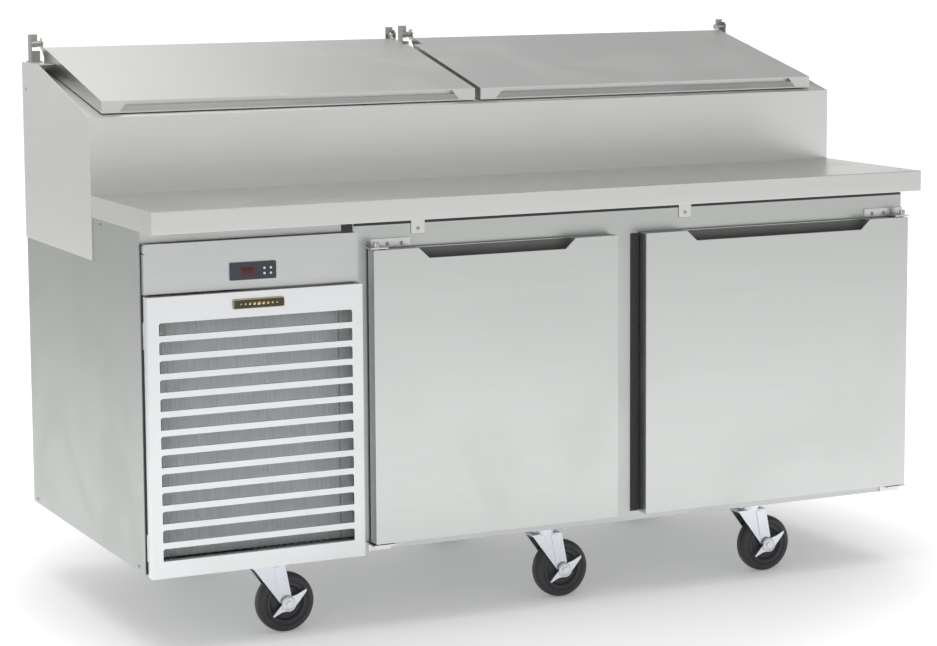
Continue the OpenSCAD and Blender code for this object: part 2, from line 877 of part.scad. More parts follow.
module louver_panel() {
  w = slot_x1 - slot_x0;
  lip = 9;
  color("white") shop() {
    difference() {
      tray_panel(louver_x0, louver_x1, louver_y, panel_t, louver_z0, louver_z1);
      for (i = [0 : slot_n - 1]) {
        z = slot_low + i * slot_pitch;
        along_y(louver_y - 1, louver_y + skin + 1) {
          translate([slot_x0, z]) square([w, slot_h - 5]);
          translate([slot_x0, z + slot_h - 12]) rounded(w, 12, 5);
        }
      }
    }
    for (i = [0 : slot_n - 1]) {
      z = slot_low + i * slot_pitch;
      box(slot_x0 - 4, slot_x1 + 4, louver_y + skin, louver_y + skin + lip, z - 2, z);
    }
    for (z = leaf_z) {
      box(louver_x0 + skin, louver_x0 + 2 * skin, louver_y + 8, knuckle_y - 2, z + leaf_h / 2 + 0.5, z + leaf_h);
      difference() {
        union() {
          box(louver_x0 + skin, louver_x0 + 2 * skin, knuckle_y - 4, knuckle_y, z + leaf_h / 2 + 0.5, z + leaf_h);
          rod_z(knuckle_x, knuckle_y, z + leaf_h / 2 + 0.5, z + leaf_h, knuckle_r - 0.6);
        }
        rod_z(knuckle_x, knuckle_y, z, z + leaf_h + 1, 2 + run_gap);
      }
    }
  }
}

module louver_hinges() {
  color("silver") shop() {
    for (z = leaf_z) {
      rod_z(knuckle_x, knuckle_y, z, z + leaf_h / 2, knuckle_r - 0.6);
      rod_z(knuckle_x, knuckle_y, z, z + leaf_h, 2);
      box(knuckle_x, shell_l + lip_w, side_y - skin, side_y, z, z + leaf_h / 2);
    }
  }
}

module badge() {
  color("gold") shop() {
    along_y(louver_y - 3, louver_y) translate([louver_x0 + 182, louver_z1 - 35]) rounded(111, 20, 3);
  }
}

// Control panel's outline as (x, z), drawn in by d, with round top corners.
module control_shape(d) {
  w = control_x1 - control_x0 - 2 * d;
  translate([control_x0 + d, control_z0 + d]) square([w, control_h - 20]);
  translate([control_x0 + d, control_z1 - 20]) rounded(w, 20 - d, 5 - d);
}

// Its right-hand return is cut short where it laps the face frame.
module control_panel() {
  color("silver") shop() difference() {
    along_y(control_y, side_y) control_shape(0);
    along_y(control_y + skin, side_y + poke) control_shape(skin);
    box(frame_l - air_gap, control_x1 + poke, frame_y - air_gap, side_y + poke, control_z0 - poke, control_z1 + poke);
    box(ctl_x0 + 4, ctl_x0 + ctl_w - 4, control_y - poke, control_y + skin + poke, ctl_z0 + 4, ctl_z0 + ctl_h - 4);
  }
}

module controller() {
  color("black") shop() difference() {
    union() {
      along_y(control_y - ctl_proud, control_y) translate([ctl_x0, ctl_z0]) rounded(ctl_w, ctl_h, 2.5);
      box(ctl_x0 + 4, ctl_x0 + ctl_w - 4, control_y, control_y + 60, ctl_z0 + 4, ctl_z0 + ctl_h - 4);
    }
    box(ctl_x0 + 23, ctl_x0 + 58, control_y - ctl_proud - 1, control_y - ctl_proud + 0.6, ctl_z0 + 6, ctl_z0 + ctl_h - 6);
    for (x = key_x, z = key_z) {
      rod_y(x, control_y - ctl_proud - 1, control_y + 1.5, z, key_r + run_gap);
    }
  }
}

module key_at(i, k) {
  color("white") shop() {
    y0 = control_y - ctl_proud - key_out;
    rod_y(key_x[i], y0, control_y, key_z[k], key_r);
  }
}

module key_up() {
  key_at(0, 1);
}

module key_set() {
  key_at(1, 1);
}

module key_down() {
  key_at(0, 0);
}

module key_power() {
  key_at(1, 0);
}

// ---------- condensing unit ----------

module compressor() {
  z0 = tray_z + 2;
  color("black") shop() {
    for (x = [comp_x - 70, comp_x + 70], y = [comp_y - 55, comp_y + 55]) {
      rod_z(x, y, z0, z0 + 18, 12);
    }
    box(comp_x - 90, comp_x + 90, comp_y - 70, comp_y + 70, z0 + 18, z0 + 22);
    rod_z(comp_x, comp_y, z0 + 22, z0 + comp_h - 40, comp_r);
    intersection() {
      translate([comp_x, comp_y, z0 + comp_h - 40 - 45]) sphere(r = comp_r + 10);
      rod_z(comp_x, comp_y, z0 + comp_h - 41, z0 + comp_h + 60, comp_r);
    }
    box(comp_x - 35, comp_x + 35, comp_y + comp_r - 15, comp_y + comp_r + 38, z0 + 70, z0 + 150);
  }
}

fin_n = 26;
tube_n = floor((cond_z1 - cond_z0 - 40) / 40);

module condenser() {
  color("silver") shop() {
    for (i = [0 : fin_n - 1]) {
      x = cond_x0 + 6 + i * (cond_x1 - cond_x0 - 13) / (fin_n - 1);
      box(x, x + 1, cond_y0, cond_y1 + 1, cond_z0 - 1, cond_z1 + 1);
    }
    for (k = [0 : tube_n - 1], y = [cond_y0 + 16, cond_y0 + 40]) {
      rod_x(cond_x0 + 1, cond_x1 - 1, y, cond_z0 + 30 + k * 40, 5);
    }
    for (x = [cond_x0, cond_x1 - 2]) {
      box(x, x + 2, cond_y0 - 2, cond_y1, tray_z + 2, cond_z1 + 2);
    }
    difference() {
      box(cond_x0, cond_x1, cond_y1, shroud_y, cond_z0 - 2, cond_z1 + 2);
      box(cond_x0 + 2, cond_x1 - 2, cond_y1 - 1, shroud_y - 2, cond_z0, cond_z1);
      rod_y(fan_x, shroud_y - 3, shroud_y + 1, fan_z, fan_r + 6);
    }
  }
}

module condenser_motor() {
  color("dimgray") shop() {
    rod_y(fan_x, motor_y, motor_y + 55, fan_z, 38);
    rod_y(fan_x, fan_y + 2, motor_y, fan_z, 5);
    difference() {
      box(fan_x - 34, fan_x + 34, motor_y + 20, motor_y + 24, tray_z + 2, fan_z);
      rod_y(fan_x, motor_y, motor_y + 55, fan_z, 30);
    }
    box(fan_x - 34, fan_x + 34, motor_y + 20, motor_y + 60, tray_z + 2, tray_z + 5);
  }
}

module blades(n, r, hub, w, t, pitch) {
  for (i = [0 : n - 1]) {
    rotate([0, 0, i * 360 / n]) intersection() {
      translate([hub - 2, 0, 0]) rotate([pitch, 0, 0]) translate([0, -w / 2, -t / 2]) cube([r, w, t]);
      translate([0, 0, -w]) cylinder(r = r, h = 2 * w);
    }
  }
}

module condenser_fan() {
  color("gray") shop() translate([fan_x, fan_y, fan_z]) rotate([-90, 0, 0]) difference() {
    union() {
      translate([0, 0, -9]) cylinder(r = 26, h = 18);
      blades(5, fan_r - 2, 26, 60, 2, 22);
    }
    translate([0, 0, -5]) cylinder(r = 5 + run_gap, h = 20);
  }
}

module pipe_bend(r, bend, angle) {
  rotate_extrude(angle = angle) translate([bend, 0]) circle(r = r);
}

module refrigerant_lines() {
  color("peru") shop() {
    for (k = [0, 1]) {
      y = line_y - 12 + 24 * k;
      rod_x(bay_w - 60, evap_x0 + 8, y, line_z, line_r);
      translate([bay_w - 60, y, line_z - 20]) rotate([-90, 0, 0]) rotate([0, 0, 180]) pipe_bend(line_r, 20, 90);
      rod_z(bay_w - 80, y, tray_z + 2, line_z - 20, line_r);
    }
    box(bay_w - 95, bay_w - 65, line_y - 30, line_y + 30, tray_z + 2, tray_z + 14);
  }
}

// ---------- evaporator ----------

module evaporator() {
  color("silver") shop() {
    n = 22;
    for (i = [0 : n - 1]) {
      x = evap_x0 + 12 + i * (evap_w - 25) / (n - 1);
      box(x, x + 1, evap_y1 - 100, evap_y1 - 8, evap_z0 + 14, liner_z1 - 8);
    }
    for (k = [0 : 2], y = [evap_y1 - 80, evap_y1 - 54, evap_y1 - 28]) {
      rod_x(evap_x0 + 8, evap_x0 + evap_w - 8, y, evap_z0 + 28 + k * 26, 4.5);
    }
    for (x = [evap_x0 + 8, evap_x0 + evap_w - 10]) {
      box(x, x + 2, evap_y1 - 104, evap_y1 - 4, evap_z0 + 2, liner_z1);
    }
  }
}

module evaporator_cover() {
  color("white") shop() {
    difference() {
      box(evap_x0, evap_x0 + evap_w, evap_y0, evap_y1, evap_z0, liner_z1);
      box(evap_x0 + 2, evap_x0 + evap_w - 2, evap_y0 + 2, evap_y1 + 1, evap_z0 + 2, liner_z1 + 1);
      rod_y(evap_fan_x, evap_y0 - 1, evap_y0 + 3, evap_fan_z, evap_fan_r + 4);
      box(evap_x0 - 1, evap_x0 + 3, line_y - line_hole_y, line_y + line_hole_y, line_z - line_hole_z, line_z + line_hole_z);
      for (i = [0 : 5]) {
        box(evap_x0 + 40 + i * 60, evap_x0 + 70 + i * 60, evap_y1 - 60, evap_y1 - 30, evap_z0 - 1, evap_z0 + 3);
      }
    }
    rod_y(evap_fan_x, evap_y0 + 28, evap_y0 + 64, evap_fan_z, 22);
    rod_y(evap_fan_x, evap_y0 + 8, evap_y0 + 28, evap_fan_z, 3);
    box(evap_fan_x - 12, evap_fan_x + 12, evap_y0 + 44, evap_y0 + 47, evap_z0 + 2, evap_fan_z);
  }
}

module evaporator_fan() {
  color("gray") shop() translate([evap_fan_x, evap_y0 + 14, evap_fan_z]) rotate([-90, 0, 0]) difference() {
    union() {
      translate([0, 0, -7]) cylinder(r = 12, h = 16);
      blades(4, evap_fan_r, 12, 30, 1.5, 22);
    }
    translate([0, 0, -6.5]) cylinder(r = 3 + run_gap, h = 20);
  }
}

// ---------- shelves ----------

module wire_shelf(x0, x1) {
  n = floor((x1 - x0 - 24) / 30);
  r = wire / 2;
  for (x = [x0 + r, x1 - r]) rod_y(x, shelf_y0, shelf_y1, shelf_z, r);
  for (y = [shelf_y0 + r, (shelf_y0 + shelf_y1) / 2, shelf_y1 - r]) rod_x(x0 + r, x1 - r, y, shelf_z, r);
  for (i = [1 : n]) {
    x = x0 + i * (x1 - x0) / (n + 1);
    rod_y(x, shelf_y0 + r, shelf_y1 - r, shelf_z + r + 1, 1.8);
  }
}

module shelves() {
  color("gainsboro") shop() {
    wire_shelf(liner_x0 + post_t + 3, mid_x - 4);
    wire_shelf(mid_x + 4, liner_x1 - post_t - 3);
  }
}

// ---------- casters ----------

module at_caster(i, k) {
  translate([swivel_x[i], swivel_y[k], 0]) children();
}

module caster_plates() {
  color("silver") shop() {
    for (i = [0 : 2], k = [0, 1]) at_caster(i, k) {
      difference() {
        translate([0, 0, base_z - plate_t]) linear_extrude(plate_t)
          translate([-plate_w / 2, -plate_d / 2]) rounded(plate_w, plate_d, 8);
        for (x = [-36, 36], y = [-24, 24]) translate([x, y, base_z - 10]) cylinder(r = 4, h = 20);
      }
      translate([0, 0, base_z - plate_t - 8]) cylinder(r = race_r, h = 8);
      translate([0, 0, crown_z - 4]) cylinder(r = king_r, h = 20);
      for (x = [-36, 36], y = [-24, 24]) {
        translate([x, y, base_z - plate_t - 5]) cylinder(r = 6.5, h = 5, $fn = 6);
      }
    }
  }
}

// One side leg of a fork, drawn as (x, z) from the swivel axis.
module fork_leg() {
  polygon([
    [-fork_back, crown_z + fork_t],
    [fork_front, crown_z + fork_t],
    [caster_trail + 10, axle_z + 6],
    [caster_trail - 14, axle_z - 2]
  ]);
  translate([caster_trail, axle_z]) circle(r = 13.5);
}

module fork() {
  difference() {
    union() {
      for (y = [-fork_y, fork_in]) along_y(y, y + fork_t) fork_leg();
      translate([-fork_back, -fork_y, crown_z]) cube([fork_back + fork_front, 2 * fork_y, fork_t]);
      translate([0, 0, crown_z + fork_t]) cylinder(r = race_r - 2, h = 6.5);
      for (y = [-fork_y - rib_t, fork_y]) along_y(y, y + rib_t) polygon([
        [8, crown_z],
        [22, crown_z],
        [26, axle_z + 18],
        [20, axle_z + 18]
      ]);
      rod_y(caster_trail, -fork_y - 10, fork_y + 5, axle_z, axle_r);
      rod_y(caster_trail, fork_y, fork_y + 5, axle_z, 9);
    }
    translate([0, 0, crown_z - 5]) cylinder(r = king_r + run_gap, h = 20);
  }
}

// Wheel profile as (radius, width), with a dished web and a ring groove at each side.
module wheel() {
  r = wheel_d / 2;
  h = wheel_w / 2;
  hub = h + 1.5;
  translate([caster_trail, 0, axle_z]) rotate([90, 0, 0]) rotate_extrude($fn = 96) polygon([
    [axle_r + run_gap, -hub],
    [14, -hub],
    [16, -h + 3],
    [r - 29.5, -h + 5],
    [r - 25.5, -h],
    [r - 18.5, -h],
    [r - 17.5, -h + 1.5],
    [r - 15.5, -h + 1.5],
    [r - 14.5, -h],
    [r - 8, -h],
    [r - 4, -h + 2],
    [r - 1, -h + 6],
    [r, -h + 12],
    [r, h - 12],
    [r - 1, h - 6],
    [r - 4, h - 2],
    [r - 8, h],
    [r - 14.5, h],
    [r - 15.5, h - 1.5],
    [r - 17.5, h - 1.5],
    [r - 18.5, h],
    [r - 25.5, h],
    [r - 29.5, h - 5],
    [16, h - 3],
    [14, hub],
    [axle_r + run_gap, hub]
  ]);
}

// Brake lever on the axle end: a long toe tab at the right, a short one at the left.
module brake() {
  y1 = -fork_y - rib_t - 0.5;
  translate([caster_trail, 0, axle_z]) difference() {
    union() {
      translate([0, y1, 0]) rotate([90, 0, 0]) cylinder(r = 16, h = 6);
      along_y(y1 - 3, y1) polygon([
        [-34, -26],
        [-35, -23],
        [-24, -11],
        [-16, -2],
        [-8, 12],
        [9, 15],
        [20, 18],
        [41, 28],
        [40, 22],
        [26, 5],
        [18, -4],
        [6, -15],
        [-15, -17]
      ]);
    }
    rotate([90, 0, 0]) cylinder(r = axle_r + run_gap, h = 60);
  }
}

module fork_at(i, k) {
  color("silver") shop() at_caster(i, k) fork();
}

module wheel_at(i, k) {
  color("black") shop() at_caster(i, k) wheel();
}

module brake_at(i) {
  color("white") shop() at_caster(i, 0) brake();
}

// ---------- fasteners ----------

module screw_y(x, y, z) {
  rod_y(x, y - 1.6, y, z, screw_r);
}

module screws() {
  color("silver") shop() {
    for (x = tab_x) screw_y(x + tab_w / 2, frame_y - skin, tab_screw_z);
    for (k = hinge_screw, x = [door_l_x0 + hinge_dx + k, door_r_x1 - hinge_dx - k]) {
      screw_y(x, frame_y - hinge_t, door_z1 + hinge_clear + hinge_screw_z);
    }
    for (p = side_screw) {
      rod_x(0.4, side_in, p[0], p[1], screw_r);
      rod_x(overall_w - side_in, overall_w - 0.4, p[0], p[1], screw_r);
    }
    for (x = [0.3, overall_w - side_in]) {
      rod_x(x, x + side_in - 0.3, rail_screw[0], rail_screw[1], screw_r);
    }
  }
}

side_left();
side_right();
rear_shell();
bay_frame();
insulation();
liner();
face_frame();
machine_base();
worktop();
rail_housing();
rail_liner();
divider_bars();
food_pans();
lid_brackets();
door_hinges();
louver_hinges();
control_panel();
controller();
compressor();
condenser();
condenser_motor();
refrigerant_lines();
evaporator();
evaporator_cover();
shelves();
caster_plates();
screws();
lid_left();
lid_left_liner();
lid_right();
lid_right_liner();
door_left();
door_left_core();
door_left_gasket();
door_right();
door_right_core();
door_right_gasket();
louver_panel();
badge();
key_up();
key_set();
key_down();
key_power();
condenser_fan();
evaporator_fan();
fork_at(0, 0);  // fork_front_left
fork_at(1, 0);  // fork_front_mid
fork_at(2, 0);  // fork_front_right
fork_at(0, 1);  // fork_rear_left
fork_at(1, 1);  // fork_rear_mid
fork_at(2, 1);  // fork_rear_right
wheel_at(0, 0);  // wheel_front_left
wheel_at(1, 0);  // wheel_front_mid
wheel_at(2, 0);  // wheel_front_right
wheel_at(0, 1);  // wheel_rear_left
wheel_at(1, 1);  // wheel_rear_mid
wheel_at(2, 1);  // wheel_rear_right
brake_at(0);  // brake_left
brake_at(1);  // brake_mid
brake_at(2);  // brake_right
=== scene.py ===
import math

import bmesh
import bpy
from mathutils import Matrix, Vector


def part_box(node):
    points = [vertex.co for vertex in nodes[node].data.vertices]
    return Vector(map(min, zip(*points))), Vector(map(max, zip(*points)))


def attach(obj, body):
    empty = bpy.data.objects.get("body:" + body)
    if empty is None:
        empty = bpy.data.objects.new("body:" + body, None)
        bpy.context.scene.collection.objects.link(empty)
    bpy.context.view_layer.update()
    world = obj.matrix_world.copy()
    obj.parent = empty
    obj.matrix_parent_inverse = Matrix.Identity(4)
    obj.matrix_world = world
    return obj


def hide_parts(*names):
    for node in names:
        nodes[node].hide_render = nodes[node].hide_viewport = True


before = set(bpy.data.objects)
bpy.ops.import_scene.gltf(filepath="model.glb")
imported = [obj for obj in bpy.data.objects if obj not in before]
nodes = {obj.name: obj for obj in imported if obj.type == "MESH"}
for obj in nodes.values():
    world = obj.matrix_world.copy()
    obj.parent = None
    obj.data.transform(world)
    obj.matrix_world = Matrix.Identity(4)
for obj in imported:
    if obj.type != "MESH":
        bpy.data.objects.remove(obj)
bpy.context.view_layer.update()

# ---------------------------------------------------------------- camera
# A long lens from the front left, a little above the worktop, as a catalogue
# shot of kitchen equipment is taken.
turn, tip, roll = math.radians(25.28), math.radians(6.753), math.radians(-0.395)
ahead = Vector((math.sin(turn) * math.cos(tip), math.cos(turn) * math.cos(tip), -math.sin(tip)))
level_right = ahead.cross(Vector((0, 0, 1))).normalized()
level_up = level_right.cross(ahead)
cam_right = level_right * math.cos(roll) + level_up * math.sin(roll)
cam_up = level_up * math.cos(roll) - level_right * math.sin(roll)
cam_data = bpy.data.cameras.new("catalogue_lens")
cam_data.sensor_width = 36
cam_data.lens = 100.93
cam_data.shift_x = 0.0173
cam_data.shift_y = -0.0873
cam_data.clip_end = 60
camera = bpy.data.objects.new("camera", cam_data)
turned = Matrix((cam_right, cam_up, -ahead)).transposed().to_4x4()
camera.matrix_world = Matrix.Translation((-2.5703, -5.3322, 1.4608)) @ turned
bpy.context.scene.collection.objects.link(camera)
bpy.context.scene.camera = camera


# ---------------------------------------------------------------- studio
# A pale floor under a big overhead light, with a bright backdrop and a
# darker side behind the camera, so that the upright steel shades from top to foot.
def link_object(name, mesh, material=None):
    thing = bpy.data.objects.new(name, mesh)
    bpy.context.scene.collection.objects.link(thing)
    if material:
        mesh.materials.append(material)
    return thing


def blank_material(name):
    made = bpy.data.materials.new(name)
    made.use_nodes = True
    tree = made.node_tree
    return made, tree.nodes, tree.links, tree.nodes["Principled BSDF"]


floor_mat, mn, ml, shader = blank_material("studio_floor_painted_glow")
floor_noise = mn.new("ShaderNodeTexNoise")
floor_noise.inputs["Scale"].default_value = 0.7
floor_tone = mn.new("ShaderNodeMapRange")
floor_tone.inputs["To Min"].default_value = 0.90
floor_tone.inputs["To Max"].default_value = 0.94
ml.new(floor_noise.outputs["Fac"], floor_tone.inputs["Value"])
ml.new(floor_tone.outputs["Result"], shader.inputs["Base Color"])
shader.inputs["Roughness"].default_value = 0.75
# The floor also glows by itself, which is painted light. The glow is weakest within about a metre
# of the unit, which is a painted shadow under it, and it fades towards the left and the front.
shader.inputs["Emission Color"].default_value = (1, 1, 1, 1)
spot_place = mn.new("ShaderNodeTexCoord")
spot_reach = mn.new("ShaderNodeVectorMath")
spot_reach.operation = "LENGTH"
ml.new(spot_place.outputs["Object"], spot_reach.inputs[0])
painted_shadow_ramp = mn.new("ShaderNodeMapRange")
painted_shadow_ramp.interpolation_type = "SMOOTHSTEP"
painted_shadow_ramp.inputs["From Min"].default_value = 0.75
painted_shadow_ramp.inputs["From Max"].default_value = 1.45
painted_shadow_ramp.inputs["To Min"].default_value = 0.20
painted_shadow_ramp.inputs["To Max"].default_value = 0.62
ml.new(spot_reach.outputs["Value"], painted_shadow_ramp.inputs["Value"])
spot_split = mn.new("ShaderNodeSeparateXYZ")
ml.new(spot_place.outputs["Object"], spot_split.inputs["Vector"])
painted_floor_glow = painted_shadow_ramp.outputs["Result"]
for axis, near, far, least in (("X", -1.6, -2.8, 0.15), ("Y", -2.6, -7.5, 0.55)):
    fade = mn.new("ShaderNodeMapRange")
    fade.inputs["From Min"].default_value = near
    fade.inputs["From Max"].default_value = far
    fade.inputs["To Min"].default_value = 1.0
    fade.inputs["To Max"].default_value = least
    ml.new(spot_split.outputs[axis], fade.inputs["Value"])
    dimmed = mn.new("ShaderNodeMath")
    dimmed.operation = "MULTIPLY"
    ml.new(painted_floor_glow, dimmed.inputs[0])
    ml.new(fade.outputs["Result"], dimmed.inputs[1])
    painted_floor_glow = dimmed.outputs["Value"]
ml.new(painted_floor_glow, shader.inputs["Emission Strength"])
floor_mesh = bpy.data.meshes.new("studio_floor")
floor_mesh.from_pydata([(-14, -15, 0), (16, -15, 0), (16, 14, 0), (-14, 14, 0)], [], [(0, 1, 2, 3)])
floor = link_object("studio_floor", floor_mesh, floor_mat)

world = bpy.data.worlds.new("studio_air")
bpy.context.scene.world = world
world.use_nodes = True
wn, wl = world.node_tree.nodes, world.node_tree.links
sky_dir = wn.new("ShaderNodeTexCoord")
sky_split = wn.new("ShaderNodeSeparateXYZ")
wl.new(sky_dir.outputs["Generated"], sky_split.inputs["Vector"])


# A soft step in the backdrop's strength between two values of one direction.
def air_step(source, low, high, strength_low, strength_high):
    step = wn.new("ShaderNodeMapRange")
    step.interpolation_type = "SMOOTHSTEP"
    step.inputs["From Min"].default_value = low
    step.inputs["From Max"].default_value = high
    step.inputs["To Min"].default_value = strength_low
    step.inputs["To Max"].default_value = strength_high
    wl.new(source, step.inputs["Value"])
    return step.outputs["Result"]


def air_product(first, second):
    product = wn.new("ShaderNodeMath")
    product.operation = "MULTIPLY"
    wl.new(first, product.inputs[0])
    wl.new(second, product.inputs[1])
    return product.outputs["Value"]


front_to_back = air_step(sky_split.outputs["Y"], -0.55, 0.35, 0.56, 1.12)
overhead = air_step(sky_split.outputs["Z"], 0.25, 0.85, 1.0, 0.8)
left_fall = air_step(sky_split.outputs["X"], -0.5, -0.05, 0.48, 1.0)
above = air_step(sky_split.outputs["Z"], 0.12, 0.32, 0.0, 1.0)
to_right = air_step(sky_split.outputs["X"], 0.27, 0.42, 0.0, 0.58)
right_fall = wn.new("ShaderNodeMath")
right_fall.operation = "SUBTRACT"
right_fall.inputs[0].default_value = 1.0
wl.new(air_product(above, to_right), right_fall.inputs[1])
shaped = air_product(
    air_product(front_to_back, overhead), air_product(left_fall, right_fall.outputs["Value"])
)
wl.new(shaped, wn["Background"].inputs["Strength"])
wn["Background"].inputs["Color"].default_value = (1.0, 1.0, 0.995, 1)


def area_light(name, place, aim, width, height, power):
    data = bpy.data.lights.new(name, "AREA")
    data.shape = "RECTANGLE"
    data.size = width
    data.size_y = height
    data.energy = power
    lamp = bpy.data.objects.new(name, data)
    lamp.location = place
    lamp.rotation_euler = (Vector(aim) - Vector(place)).to_track_quat("-Z", "Y").to_euler()
    bpy.context.scene.collection.objects.link(lamp)


area_light("overhead_softbox", (-0.4, -0.6, 4.2), (0, 0.1, 0.5), 4.5, 3.2, 80)
area_light("front_left_softbox", (-4.6, -4.0, 2.4), (0, 0, 0.5), 2.6, 2.6, 30)
bpy.context.scene.view_settings.view_transform = "Standard"


# ---------------------------------------------------------------- brushed sheet steel
# Cold-rolled stainless sheet with a fine grain running along the roll, softly uneven in tone, with
# faint wiping marks, and with folded edges painted slightly brighter: a painted highlight.
def new_group(name, inputs, outputs):
    group = bpy.data.node_groups.new(name, "ShaderNodeTree")
    for label, kind, value in inputs:
        socket = group.interface.new_socket(label, in_out="INPUT", socket_type=kind)
        if value is not None:
            socket.default_value = value
    for label, kind in outputs:
        group.interface.new_socket(label, in_out="OUTPUT", socket_type=kind)
    start = group.nodes.new("NodeGroupInput")
    end = group.nodes.new("NodeGroupOutput")
    return group, group.nodes, group.links, start, end


def use_group(tree_nodes, group):
    holder = tree_nodes.new("ShaderNodeGroup")
    holder.node_tree = group
    return holder


FLOAT, VECTOR = "NodeSocketFloat", "NodeSocketVector"

grain_group, gn, gl, g_in, g_out = new_group(
    "brushed_grain",
    [("Place", VECTOR, None), ("Fineness", FLOAT, 1.0), ("Patchiness", FLOAT, 0.5)],
    [("Streaks", FLOAT), ("Patches", FLOAT), ("Height", FLOAT)],
)
fine = gn.new("ShaderNodeTexNoise")
fine.inputs["Detail"].default_value = 5
fine.inputs["Roughness"].default_value = 0.65
gl.new(g_in.outputs["Place"], fine.inputs["Vector"])
gl.new(g_in.outputs["Fineness"], fine.inputs["Scale"])
wide_scale = gn.new("ShaderNodeMath")
wide_scale.operation = "MULTIPLY"
wide_scale.inputs[1].default_value = 0.17
gl.new(g_in.outputs["Fineness"], wide_scale.inputs[0])
wide = gn.new("ShaderNodeTexNoise")
wide.inputs["Detail"].default_value = 3
gl.new(g_in.outputs["Place"], wide.inputs["Vector"])
gl.new(wide_scale.outputs["Value"], wide.inputs["Scale"])
streak_mix = gn.new("ShaderNodeMix")
streak_mix.inputs["Factor"].default_value = 0.4
gl.new(fine.outputs["Fac"], streak_mix.inputs["A"])
gl.new(wide.outputs["Fac"], streak_mix.inputs["B"])
gl.new(streak_mix.outputs["Result"], g_out.inputs["Streaks"])
gl.new(fine.outputs["Fac"], g_out.inputs["Height"])
patch = gn.new("ShaderNodeTexNoise")
patch.inputs["Scale"].default_value = 0.035
patch.inputs["Detail"].default_value = 4
gl.new(g_in.outputs["Place"], patch.inputs["Vector"])
patch_range = gn.new("ShaderNodeMapRange")
patch_range.inputs["From Min"].default_value = 0.3
patch_range.inputs["From Max"].default_value = 0.7
gl.new(patch.outputs["Fac"], patch_range.inputs["Value"])
patch_amount = gn.new("ShaderNodeMath")
patch_amount.operation = "MULTIPLY"
gl.new(patch_range.outputs["Result"], patch_amount.inputs[0])
gl.new(g_in.outputs["Patchiness"], patch_amount.inputs[1])
gl.new(patch_amount.outputs["Value"], g_out.inputs["Patches"])

wipe_group, gn, gl, g_in, g_out = new_group(
    "wiping_marks",
    [("Place", VECTOR, None), ("Size", FLOAT, 3.0)],
    [("Mask", FLOAT)],
)
swirl = gn.new("ShaderNodeTexNoise")
swirl.inputs["Detail"].default_value = 6
swirl.inputs["Distortion"].default_value = 1.6
gl.new(g_in.outputs["Place"], swirl.inputs["Vector"])
gl.new(g_in.outputs["Size"], swirl.inputs["Scale"])
swirl_cut = gn.new("ShaderNodeMapRange")
swirl_cut.interpolation_type = "SMOOTHSTEP"
swirl_cut.inputs["From Min"].default_value = 0.46
swirl_cut.inputs["From Max"].default_value = 0.66
gl.new(swirl.outputs["Fac"], swirl_cut.inputs["Value"])
gl.new(swirl_cut.outputs["Result"], g_out.inputs["Mask"])

# Painted highlight: a mask along rounded edges, broken up by noise, that lightens the base colour
# there.
edge_highlight_group, gn, gl, g_in, g_out = new_group(
    "edge_highlight",
    [("Reach", FLOAT, 0.002), ("Breakup", FLOAT, 60.0)],
    [("Mask", FLOAT)],
)
rounded = gn.new("ShaderNodeBevel")
rounded.samples = 4
gl.new(g_in.outputs["Reach"], rounded.inputs["Radius"])
flat = gn.new("ShaderNodeNewGeometry")
likeness = gn.new("ShaderNodeVectorMath")
likeness.operation = "DOT_PRODUCT"
gl.new(rounded.outputs["Normal"], likeness.inputs[0])
gl.new(flat.outputs["Normal"], likeness.inputs[1])
edge_cut = gn.new("ShaderNodeMapRange")
edge_cut.inputs["From Min"].default_value = 0.995
edge_cut.inputs["From Max"].default_value = 0.86
gl.new(likeness.outputs["Value"], edge_cut.inputs["Value"])
edge_place = gn.new("ShaderNodeTexCoord")
edge_noise = gn.new("ShaderNodeTexNoise")
edge_noise.inputs["Detail"].default_value = 3
gl.new(edge_place.outputs["Object"], edge_noise.inputs["Vector"])
gl.new(g_in.outputs["Breakup"], edge_noise.inputs["Scale"])
edge_break = gn.new("ShaderNodeMath")
edge_break.operation = "MULTIPLY"
gl.new(edge_cut.outputs["Result"], edge_break.inputs[0])
gl.new(edge_noise.outputs["Fac"], edge_break.inputs[1])
gl.new(edge_break.outputs["Value"], g_out.inputs["Mask"])

ALONG_X = (1.2, 260, 260)
ALONG_Y = (260, 1.2, 260)
ALONG_Z = (260, 260, 1.2)


